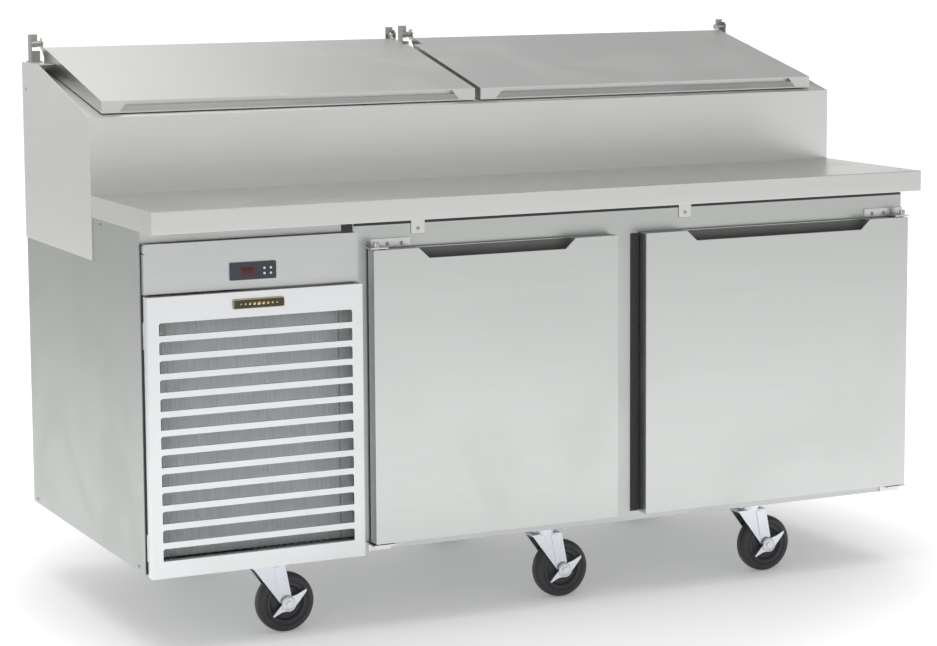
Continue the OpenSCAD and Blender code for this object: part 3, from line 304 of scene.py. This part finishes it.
def sheet_steel(
    name, dark, light, grain=ALONG_X, rough=(0.26, 0.36), bump=0.03, wipe=2.2, edge=0.55
):
    made, mn, ml, shader = blank_material(name)
    place = mn.new("ShaderNodeTexCoord")
    stretch = mn.new("ShaderNodeMapping")
    stretch.inputs["Scale"].default_value = grain
    ml.new(place.outputs["Object"], stretch.inputs["Vector"])
    brushed = use_group(mn, grain_group)
    brushed.inputs["Fineness"].default_value = 1.0
    brushed.inputs["Patchiness"].default_value = 0.45
    ml.new(stretch.outputs["Vector"], brushed.inputs["Place"])
    marks = use_group(mn, wipe_group)
    marks.inputs["Size"].default_value = wipe
    ml.new(place.outputs["Object"], marks.inputs["Place"])
    edge_highlight_mask = use_group(mn, edge_highlight_group)
    edge_highlight_mask.inputs["Reach"].default_value = 0.0016
    edge_highlight_mask.inputs["Breakup"].default_value = 60

    tone = mn.new("ShaderNodeMix")
    tone.data_type = "RGBA"
    tone.inputs[6].default_value = (*dark, 1)
    tone.inputs[7].default_value = (*light, 1)
    ml.new(brushed.outputs["Streaks"], tone.inputs["Factor"])
    patched = mn.new("ShaderNodeMix")
    patched.data_type = "RGBA"
    patched.inputs[7].default_value = (*[0.5 * (a + b) * 0.95 for a, b in zip(dark, light)], 1)
    ml.new(brushed.outputs["Patches"], patched.inputs["Factor"])
    ml.new(tone.outputs[2], patched.inputs[6])
    # Rounded edges are mixed towards a lighter colour: a painted highlight.
    edged = mn.new("ShaderNodeMix")
    edged.data_type = "RGBA"
    edged.inputs[7].default_value = (*[min(1.0, b * 1.12) for b in light], 1)
    edge_amount = mn.new("ShaderNodeMath")
    edge_amount.operation = "MULTIPLY"
    edge_amount.inputs[1].default_value = edge
    ml.new(edge_highlight_mask.outputs["Mask"], edge_amount.inputs[0])
    ml.new(edge_amount.outputs["Value"], edged.inputs["Factor"])
    ml.new(patched.outputs[2], edged.inputs[6])
    ml.new(edged.outputs[2], shader.inputs["Base Color"])

    gloss = mn.new("ShaderNodeMapRange")
    gloss.inputs["To Min"].default_value = rough[0]
    gloss.inputs["To Max"].default_value = rough[1]
    ml.new(brushed.outputs["Streaks"], gloss.inputs["Value"])
    smear = mn.new("ShaderNodeMath")
    smear.operation = "MULTIPLY_ADD"
    smear.inputs[1].default_value = 0.05
    ml.new(marks.outputs["Mask"], smear.inputs[0])
    ml.new(gloss.outputs["Result"], smear.inputs[2])
    ml.new(smear.outputs["Value"], shader.inputs["Roughness"])

    relief = mn.new("ShaderNodeBump")
    relief.inputs["Strength"].default_value = bump
    relief.inputs["Distance"].default_value = 0.0004
    ml.new(brushed.outputs["Height"], relief.inputs["Height"])
    ml.new(relief.outputs["Normal"], shader.inputs["Normal"])
    shader.inputs["Metallic"].default_value = 1.0
    return made


def dress(material, *names):
    for name in names:
        slots = nodes[name].material_slots
        for slot in slots:
            slot.material = material


# Folded sheet has small round bends. The weld closes the faces before they are rounded.
def soften(width, *names):
    for name in names:
        thing = nodes[name]
        weld = thing.modifiers.new("close_faces", "WELD")
        weld.merge_threshold = 0.00002
        bend = thing.modifiers.new("fold_radius", "BEVEL")
        bend.width = width
        bend.segments = 3
        bend.limit_method = "ANGLE"
        bend.angle_limit = math.radians(40)
        bend.harden_normals = True


side_steel = sheet_steel(
    "side_panel_steel", (0.42, 0.44, 0.425), (0.51, 0.53, 0.51), ALONG_Y, (0.34, 0.44)
)
dress(side_steel, "side_left", "side_right")
back_steel = sheet_steel(
    "back_panel_steel", (0.46, 0.475, 0.47), (0.58, 0.60, 0.59), ALONG_X, (0.38, 0.48)
)
dress(back_steel, "rear_shell")
frame_steel = sheet_steel(
    "face_frame_steel", (0.50, 0.515, 0.50), (0.60, 0.62, 0.605), ALONG_X, (0.30, 0.40)
)
dress(frame_steel, "face_frame", "bay_frame")
soften(0.0008, "face_frame", "bay_frame")

# ---------------------------------------------------------------- worktop
# Thick-looking prep worktop folded from one sheet, with a turned-down fascia and
# welded corners ground smooth. Two tabs under the fascia hold it to the frame.
# Its base colour is set lighter than the cabinet's other steel so that the worktop reads as
# brightly lit: painted light.
top_steel = sheet_steel(
    "worktop_steel", (0.65, 0.66, 0.645), (0.77, 0.78, 0.76), ALONG_X, (0.26, 0.34), wipe=3.5
)
dress(top_steel, "worktop")
soften(0.0014, "worktop")

# ---------------------------------------------------------------- rail housing
# Raised housing of the pan rail: riser, sloped ends and rear ledge in one
# folded and welded shell.
# Its base colour is set lighter than the cabinet's other steel so that the housing reads as
# brightly lit: painted light.
rail_steel = sheet_steel(
    "rail_housing_steel", (0.74, 0.75, 0.735), (0.85, 0.86, 0.84), ALONG_X, (0.28, 0.38)
)
dress(rail_steel, "rail_housing")

# ---------------------------------------------------------------- lids
# Two insulated lids, each a sheet cap over a formed underside. The grain runs
# along the length, and the front has a folded finger groove.
# Its base colour is set lighter than the cabinet's other steel so that the lids read as brightly
# lit: painted light.
lid_steel = sheet_steel(
    "lid_steel", (0.71, 0.72, 0.705), (0.81, 0.82, 0.805), ALONG_X, (0.26, 0.36), wipe=2.6
)
dress(lid_steel, "lid_left", "lid_right")
inner_steel = sheet_steel(
    "inner_liner_steel", (0.55, 0.56, 0.56), (0.70, 0.71, 0.71), ALONG_X, (0.24, 0.36)
)
dress(inner_steel, "liner", "rail_liner", "lid_left_liner", "lid_right_liner")

# ---------------------------------------------------------------- doors
# Door skins are shallow trays pressed from brushed sheet. The moulded core shows in the hand notch,
# and its dark grey-green colour also paints the shade inside the notch. A soft seal runs round the
# back.
door_steel = sheet_steel(
    "door_steel", (0.56, 0.575, 0.565), (0.65, 0.665, 0.65), ALONG_X, (0.27, 0.36), wipe=2.0
)
dress(door_steel, "door_left", "door_right")
soften(0.0012, "door_left", "door_right")


def moulded_plastic(name, dark, light, rough, pebble, depth, tint_scale=8):
    made, mn, ml, shader = blank_material(name)
    place = mn.new("ShaderNodeTexCoord")
    cloud = mn.new("ShaderNodeTexNoise")
    cloud.inputs["Scale"].default_value = tint_scale
    cloud.inputs["Detail"].default_value = 5
    ml.new(place.outputs["Object"], cloud.inputs["Vector"])
    tone = mn.new("ShaderNodeMix")
    tone.data_type = "RGBA"
    tone.inputs[6].default_value = (*dark, 1)
    tone.inputs[7].default_value = (*light, 1)
    ml.new(cloud.outputs["Fac"], tone.inputs["Factor"])
    ml.new(tone.outputs[2], shader.inputs["Base Color"])
    dots = mn.new("ShaderNodeTexNoise")
    dots.inputs["Scale"].default_value = pebble
    dots.inputs["Detail"].default_value = 2
    ml.new(place.outputs["Object"], dots.inputs["Vector"])
    relief = mn.new("ShaderNodeBump")
    relief.inputs["Strength"].default_value = depth
    relief.inputs["Distance"].default_value = 0.0005
    ml.new(dots.outputs["Fac"], relief.inputs["Height"])
    ml.new(relief.outputs["Normal"], shader.inputs["Normal"])
    gloss = mn.new("ShaderNodeMapRange")
    gloss.inputs["To Min"].default_value = rough - 0.06
    gloss.inputs["To Max"].default_value = rough + 0.08
    ml.new(dots.outputs["Fac"], gloss.inputs["Value"])
    ml.new(gloss.outputs["Result"], shader.inputs["Roughness"])
    return made


# Dark grey-green: partly the core's own colour, partly painted shade for the inside of the hand
# notch.
door_plastic = moulded_plastic(
    "door_core_plastic", (0.12, 0.128, 0.12), (0.18, 0.188, 0.178), 0.5, 900, 0.15
)
dress(door_plastic, "door_left_core", "door_right_core")
gasket_rubber = moulded_plastic(
    "door_seal_rubber", (0.035, 0.036, 0.036), (0.06, 0.062, 0.06), 0.62, 1400, 0.2
)
dress(gasket_rubber, "door_left_gasket", "door_right_gasket")


def block(made, low, high):
    corners = [
        Vector((x, y, z)) for x in (low[0], high[0]) for y in (low[1], high[1])
        for z in (low[2], high[2])
    ]
    points = [made.verts.new(corner) for corner in corners]
    for a, b, c, d in (
        (0, 1, 3, 2), (4, 6, 7, 5), (0, 4, 5, 1), (2, 3, 7, 6), (0, 2, 6, 4), (1, 5, 7, 3)
    ):
        made.faces.new((points[a], points[b], points[c], points[d]))


def finish_piece(name, made, material, body, width=0.0):
    bmesh.ops.recalc_face_normals(made, faces=made.faces)
    mesh = bpy.data.meshes.new(name)
    made.to_mesh(mesh)
    made.free()
    piece = link_object(name, mesh, material)
    if width:
        bend = piece.modifiers.new("edge_radius", "BEVEL")
        bend.width = width
        bend.segments = 2
        bend.limit_method = "ANGLE"
    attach(piece, body)
    return piece


# Ribbed black strip on the divider between the doors, beside the right door. It stands in for a
# dark band there that is partly the door's shadow on the divider: painted shadow.
door_low, door_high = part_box("door_right")
frame_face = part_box("face_frame")[0][1]
rib_count, rib_step, rib_wide, rib_thick = 5, 0.004, 0.0034, 0.0012
strip_start, strip_end_gap = 0.0205, 0.002
strip = bmesh.new()
for rib in range(rib_count):
    left = door_low[0] - strip_start + rib * rib_step
    block(
        strip,
        (left, frame_face - rib_thick, door_low[2] + strip_end_gap),
        (left + rib_wide, frame_face, door_high[2] - strip_end_gap),
    )
finish_piece("mullion_strip", strip, gasket_rubber, "cabinet", 0.0004)

# ---------------------------------------------------------------- seam strips
# Thin black strips that paint the shade of two dark seams, a painted shadow: along the top of the
# face frame under the worktop, and down the machine bay's left edge.
shade_strip_thick, shade_strip_drop, shade_strip_top_gap = 0.0010, 0.0145, 0.0005
shade_strip_left_gap, shade_strip_right_gap = 0.002, 0.003
shade_strip = bmesh.new()
frame_low, frame_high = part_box("face_frame")
block(
    shade_strip,
    (frame_low[0] + shade_strip_left_gap, frame_face - shade_strip_thick, frame_high[2] - shade_strip_drop),
    (frame_high[0] - shade_strip_right_gap, frame_face, frame_high[2] - shade_strip_top_gap),
)
# Painted shadow under the worktop's overhang.
finish_piece("worktop_shade_strip", shade_strip, gasket_rubber, "cabinet", 0.0003)
louver_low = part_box("louver_panel")[0]
sheet_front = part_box("side_left")[0][1]
# The right side of this strip lies in the open louvered panel's swing.
edge_thick, edge_foot = 0.0009, 0.006
edge_left, edge_right = 0.0019, 0.0024
bay_shade_strip = bmesh.new()
block(
    bay_shade_strip,
    (louver_low[0] - edge_left, sheet_front - edge_thick, louver_low[2] + edge_foot),
    (louver_low[0] + edge_right, sheet_front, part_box("control_panel")[1][2]),
)
# Painted shadow down the machine bay's left edge.
finish_piece("bay_edge_shade_strip", bay_shade_strip, gasket_rubber, "cabinet", 0.0002)

# ---------------------------------------------------------------- louvered panel
# Pressed front of the machine bay: bright sheet with thirteen slots, each with a
# lip turned in along its lower edge.
louver_steel = sheet_steel(
    "louver_panel_steel", (0.77, 0.78, 0.795), (0.86, 0.87, 0.885), ALONG_X, (0.36, 0.46),
    bump=0.02, wipe=4
)
dress(louver_steel, "louver_panel")

# ---------------------------------------------------------------- control panel
# Plain sheet tray above the louvered panel, folded on all four edges. The moulded
# controller snaps through it, with a display window and four press keys.
control_steel = sheet_steel(
    "control_panel_steel", (0.56, 0.57, 0.57), (0.65, 0.66, 0.66), ALONG_X, (0.32, 0.42)
)
dress(control_steel, "control_panel")
soften(0.0010, "control_panel")
controller_black = moulded_plastic(
    "controller_shell", (0.03, 0.034, 0.05), (0.05, 0.055, 0.075), 0.38, 1600, 0.12, 30
)
dress(controller_black, "controller")
# Dark red display window, slightly domed, set in the controller's face.
window_red = moulded_plastic(
    "display_window_red", (0.05, 0.006, 0.008), (0.11, 0.012, 0.015), 0.16, 900, 0.03, 60
)
shell_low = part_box("controller")[0]
shell_left = shell_low[0]
window_left, window_foot = 0.0195, 0.0025
window_wide, window_tall = 0.034, 0.023
window_sunk, dome_rise, dome_share = 0.0006, 0.0009, 0.6
window = bmesh.new()
across, down = 9, 5
rows = []
for j in range(down):
    row = []
    for i in range(across):
        u, v = i / (across - 1), j / (down - 1)
        dome = dome_rise * (1 - (2 * u - 1) ** 4) * (1 - (2 * v - 1) ** 4)
        x = shell_left + window_left + window_wide * u
        y = shell_low[1] + window_sunk - dome * dome_share
        z = shell_low[2] + window_foot + window_tall * v
        row.append(window.verts.new((x, y, z)))
    rows.append(row)
for j in range(down - 1):
    for i in range(across - 1):
        window.faces.new((rows[j][i], rows[j][i + 1], rows[j + 1][i + 1], rows[j + 1][i]))
glass = finish_piece("display_window", window, window_red, "cabinet")
for face in glass.data.polygons:
    face.use_smooth = True

key_white = moulded_plastic(
    "key_caps", (0.70, 0.73, 0.76), (0.82, 0.84, 0.86), 0.3, 1200, 0.05, 200
)
dress(key_white, "key_up", "key_set", "key_down", "key_power")

# ---------------------------------------------------------------- hinges and brackets
# Pressed and plated hardware: door hinges, the louver panel's butt hinges and
# the upright plates that carry the lids' pins.
hinge_steel = sheet_steel(
    "hinge_plate", (0.60, 0.61, 0.60), (0.74, 0.75, 0.74), ALONG_X, (0.2, 0.32), edge=0.8
)
dress(hinge_steel, "door_hinges", "louver_hinges")
soften(0.0006, "door_hinges")
bracket_steel = sheet_steel(
    "lid_bracket_steel", (0.40, 0.385, 0.36), (0.56, 0.54, 0.51), ALONG_Z, (0.28, 0.42), edge=0.8
)
dress(bracket_steel, "lid_brackets")
soften(0.0004, "lid_brackets")


# Pan-head screws: each plain disc is swapped for a domed head with a cross recess.
screw_steel = sheet_steel(
    "screw_steel", (0.34, 0.35, 0.345), (0.50, 0.51, 0.50), ALONG_X, (0.25, 0.4)
)
discs = bmesh.new()
discs.from_mesh(nodes["screws"].data)
bmesh.ops.remove_doubles(discs, verts=discs.verts, dist=0.00002)
heads = bmesh.new()
waiting = set(discs.verts)
while waiting:
    island, edge = set(), [waiting.pop()]
    while edge:
        point = edge.pop()
        island.add(point)
        for side in point.link_edges:
            other = side.other_vert(point)
            if other in waiting:
                waiting.discard(other)
                edge.append(other)
    low = Vector([min(point.co[k] for point in island) for k in range(3)])
    high = Vector([max(point.co[k] for point in island) for k in range(3)])
    middle, span = (low + high) / 2, high - low
    if span.x < span.y:
        outward = Vector((1 if middle.x > 0 else -1, 0, 0))
    else:
        outward = Vector((0, -1, 0))
    thick = min(span)
    across_head = outward.orthogonal().normalized()
    up_head = outward.cross(across_head)
    radius = max(span) / 2
    rings = []
    for reach, rise in ((1.0, 0.0), (1.0, 0.35), (0.86, 0.75), (0.6, 0.95), (0.42, 1.0)):
        ring = []
        for step in range(24):
            turn_at = math.tau * step / 24
            arm = abs(math.cos(2 * turn_at)) > 0.8 and reach < 0.5
            out = radius * reach * (1.25 if arm else 0.7 if reach < 0.5 else 1.0)
            flat_place = across_head * math.cos(turn_at) + up_head * math.sin(turn_at)
            ring.append(heads.verts.new(middle + flat_place * out + outward * thick * (rise - 0.5)))
        rings.append(ring)
    for inner, outer in zip(rings[1:], rings):
        for step in range(24):
            after = (step + 1) % 24
            heads.faces.new((outer[step], outer[after], inner[after], inner[step]))
    floor_ring = [heads.verts.new(point.co - outward * thick * 0.55) for point in rings[-1]]
    for step in range(24):
        after = (step + 1) % 24
        heads.faces.new((rings[-1][step], rings[-1][after], floor_ring[after], floor_ring[step]))
    heads.faces.new(floor_ring)
    heads.faces.new(list(reversed(rings[0])))
discs.free()
screw_heads = finish_piece("screw_heads", heads, screw_steel, "cabinet")
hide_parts("screws")

# ---------------------------------------------------------------- badge
# Small black plate with a pressed brass rim and a plain leaf ornament, fixed to
# the louvered panel's top band. It carries no lettering.
badge_black = moulded_plastic(
    "badge_field", (0.03, 0.028, 0.02), (0.05, 0.045, 0.03), 0.3, 800, 0.1, 40
)
dress(badge_black, "badge")
brass = sheet_steel(
    "badge_brass", (0.62, 0.47, 0.17), (0.80, 0.64, 0.30), ALONG_X, (0.2, 0.32), bump=0.02
)
plate_low, plate_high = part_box("badge")
plate_mid = (Vector(plate_low) + Vector(plate_high)) / 2
half_long = (plate_high[0] - plate_low[0]) / 2
half_tall = (plate_high[2] - plate_low[2]) / 2
face_y = plate_low[1]


def rounded_loop(target, inset, y, corner=0.0028):
    loop = []
    wide, tall = half_long - inset, half_tall - inset
    for quarter, (sx, sz) in enumerate(((1, 1), (-1, 1), (-1, -1), (1, -1))):
        for step in range(6):
            angle = math.radians(90 * quarter + 18 * step)
            x = sx * (wide - corner) + corner * math.cos(angle)
            z = sz * (tall - corner) + corner * math.sin(angle)
            loop.append(target.verts.new((plate_mid.x + x, y, plate_mid.z + z)))
    return loop


def bridge(target, first, second):
    for step in range(len(first)):
        after = (step + 1) % len(first)
        target.faces.new((first[step], first[after], second[after], second[step]))


rim = bmesh.new()
loops = [
    rounded_loop(rim, 0.0001, face_y + 0.0004),
    rounded_loop(rim, 0.0003, face_y - 0.0006),
    rounded_loop(rim, 0.0012, face_y - 0.0006),
    rounded_loop(rim, 0.0016, face_y + 0.0002, 0.0018),
]
for outer, inner in zip(loops, loops[1:] + loops[:1]):
    bridge(rim, outer, inner)
finish_piece("badge_rim", rim, brass, "louver_body")

# Plain raised ornament: a band of leaf shapes that shrink towards the ends.
leaves = bmesh.new()
for count in range(-4, 5):
    size = 1 - abs(count) * 0.13
    centre_x = plate_mid.x + count * 0.0098
    outline = []
    for step in range(16):
        angle = math.tau * step / 16
        lean = 0.35 * math.sin(angle)
        x = centre_x + size * (0.0042 * math.cos(angle) + 0.0034 * lean)
        z = plate_mid.z + size * 0.0058 * math.sin(angle) * (0.75 + 0.25 * math.cos(angle) ** 2)
        outline.append((x, z))
    crown = leaves.verts.new((centre_x, face_y - 0.0007, plate_mid.z))
    skirt = [leaves.verts.new((x, face_y + 0.0002, z)) for x, z in outline]
    for step in range(16):
        leaves.faces.new((crown, skirt[step], skirt[(step + 1) % 16]))
    leaves.faces.new(list(reversed(skirt)))
finish_piece("badge_leaves", leaves, brass, "louver_body")

# ---------------------------------------------------------------- condensing unit
# Behind the louvers: a black hermetic compressor, finned condenser with a sheet
# shroud and fan, and plain copper lines.
tray_steel = sheet_steel(
    "machine_tray_zinc", (0.42, 0.44, 0.45), (0.62, 0.64, 0.65), (30, 30, 30), (0.35, 0.5)
)
dress(tray_steel, "machine_base")
coil_metal = sheet_steel(
    "coil_fins", (0.30, 0.31, 0.315), (0.48, 0.49, 0.50), ALONG_Z, (0.35, 0.5), bump=0.08
)
dress(coil_metal, "condenser", "evaporator")

# The coil's thin fins, close together, with slightly rippled front edges, coloured pale and nearly
# matt so that the shaded coil reads as brightly lit: painted light. The pack is wider than the
# coil: it runs 12 mm past its left end and 28 mm past its right.
# Pale grey standing in for light on the fins inside the shaded bay: painted light.
fin_bright = moulded_plastic(
    "fin_painted_light_grey", (0.74, 0.75, 0.76), (0.88, 0.89, 0.90), 0.5, 500, 0.1, 25
)
coil_low, coil_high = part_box("condenser")
fins = bmesh.new()
fin_count = 212
levels = 14
past_left, past_both = 0.012, 0.040
fin_foot, foot_and_head = 0.026, 0.030
fin_front, fin_rear = 0.0004, 0.026
front_half, rear_half, ripple = 0.0005, 0.00022, 0.0003
fin_tall = coil_high[2] - coil_low[2] - foot_and_head
for count in range(fin_count):
    x = coil_low[0] - past_left + (coil_high[0] - coil_low[0] + past_both) * count / (fin_count - 1)
    columns = []
    for level in range(levels):
        z = coil_low[2] + fin_foot + fin_tall * level / (levels - 1)
        lean = ripple * math.sin(level * 1.7 + count * 0.9) * math.sin(count * 0.37)
        front, rear = coil_low[1] + fin_front, coil_low[1] + fin_rear
        columns.append([
            fins.verts.new((x + lean - front_half, front, z)),
            fins.verts.new((x + lean + front_half, front, z)),
            fins.verts.new((x + rear_half, rear, z)),
            fins.verts.new((x - rear_half, rear, z)),
        ])
    for lower, upper in zip(columns, columns[1:]):
        for k in range(4):
            after = (k + 1) % 4
            fins.faces.new((lower[k], lower[after], upper[after], upper[k]))
    fins.faces.new(list(reversed(columns[0])))
    fins.faces.new(columns[-1])
finish_piece("condenser_fin_pack", fins, fin_bright, "cabinet")

fan_metal = sheet_steel(
    "fan_blade_aluminium", (0.48, 0.49, 0.50), (0.62, 0.63, 0.64), (80, 80, 80), (0.3, 0.42)
)
dress(fan_metal, "condenser_fan")
compressor_black = moulded_plastic(
    "compressor_enamel", (0.012, 0.012, 0.014), (0.03, 0.03, 0.032), 0.25, 300, 0.1
)
dress(compressor_black, "compressor")
motor_grey = moulded_plastic(
    "motor_enamel", (0.07, 0.07, 0.075), (0.11, 0.11, 0.115), 0.4, 500, 0.1
)
dress(motor_grey, "condenser_motor")
fan_plastic = moulded_plastic(
    "evaporator_fan_plastic", (0.03, 0.03, 0.032), (0.05, 0.05, 0.05), 0.45, 900, 0.1
)
dress(fan_plastic, "evaporator_fan")
cover_white = moulded_plastic(
    "evaporator_cover_enamel", (0.74, 0.75, 0.75), (0.82, 0.83, 0.83), 0.4, 600, 0.08
)
dress(cover_white, "evaporator_cover")
copper = sheet_steel("copper_tube", (0.62, 0.30, 0.16), (0.80, 0.45, 0.27), ALONG_X, (0.25, 0.42))
dress(copper, "refrigerant_lines")

# ---------------------------------------------------------------- inside the cabinet
# Wire shelves with a pale epoxy coat, pressed food pans, divider bars, and the
# foam that fills the walls.
shelf_coat = moulded_plastic(
    "shelf_wire_coat", (0.60, 0.62, 0.62), (0.72, 0.74, 0.74), 0.3, 700, 0.1
)
dress(shelf_coat, "shelves")
pan_steel = sheet_steel(
    "food_pan_steel", (0.60, 0.61, 0.61), (0.74, 0.75, 0.75), ALONG_X, (0.16, 0.26)
)
dress(pan_steel, "food_pans", "divider_bars")
foam = moulded_plastic("wall_foam", (0.70, 0.60, 0.34), (0.84, 0.76, 0.50), 0.85, 500, 0.6, 20)
dress(foam, "insulation")

# ---------------------------------------------------------------- casters
# Five-inch swivel casters: bright zinc-plated forks and race plates, black
# moulded wheels, and a toe-operated brake lever on each front one.
zinc = sheet_steel(
    "caster_zinc", (0.62, 0.65, 0.71), (0.80, 0.82, 0.87), (40, 40, 40), (0.2, 0.34), bump=0.05
)
fork_names = [
    "fork_" + end + "_" + where for end in ("front", "rear") for where in ("left", "mid", "right")
]
dress(zinc, "caster_plates", *fork_names)
brake_zinc = sheet_steel(
    "brake_lever_zinc", (0.74, 0.76, 0.80), (0.88, 0.89, 0.92), (40, 40, 40), (0.24, 0.36),
    bump=0.05
)
dress(brake_zinc, "brake_left", "brake_mid", "brake_right")


# Pressed boss ring and axle nut on the front of each brake lever.
def ring_profile(target, centre, profile, count=32):
    rings = []
    for radius, depth in profile:
        ring = []
        for step in range(count):
            angle = math.tau * step / count
            x = centre.x + radius * math.cos(angle)
            z = centre.z + radius * math.sin(angle)
            ring.append(target.verts.new((x, depth, z)))
        rings.append(ring)
    for first, second in zip(rings, rings[1:]):
        for step in range(count):
            after = (step + 1) % count
            target.faces.new((first[step], first[after], second[after], second[step]))
    target.faces.new(rings[0])
    target.faces.new(list(reversed(rings[-1])))


for where in ("left", "mid", "right"):
    wheel_low, wheel_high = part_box("wheel_front_" + where)
    axle = (Vector(wheel_low) + Vector(wheel_high)) / 2
    lever_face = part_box("brake_" + where)[0][1]
    boss = bmesh.new()
    ring_profile(boss, axle, (
        (0.0155, lever_face + 0.0002), (0.0150, lever_face - 0.0010), (0.0132, lever_face - 0.0016),
        (0.0114, lever_face - 0.0010), (0.0108, lever_face + 0.0002),
    ))
    ring_profile(boss, axle, (
        (0.0078, lever_face + 0.0002), (0.0078, lever_face - 0.0022), (0.0068, lever_face - 0.0027),
    ), 6)
    finish_piece(
        "brake_boss_" + where, boss, brake_zinc, "brake_" + where + "_body", 0.0003
    )

wheel_black = moulded_plastic(
    "caster_wheel_rubber", (0.022, 0.023, 0.026), (0.045, 0.046, 0.05), 0.42, 700, 0.12
)
wheel_names = [
    "wheel_" + end + "_" + where for end in ("front", "rear") for where in ("left", "mid", "right")
]
dress(wheel_black, *wheel_names)
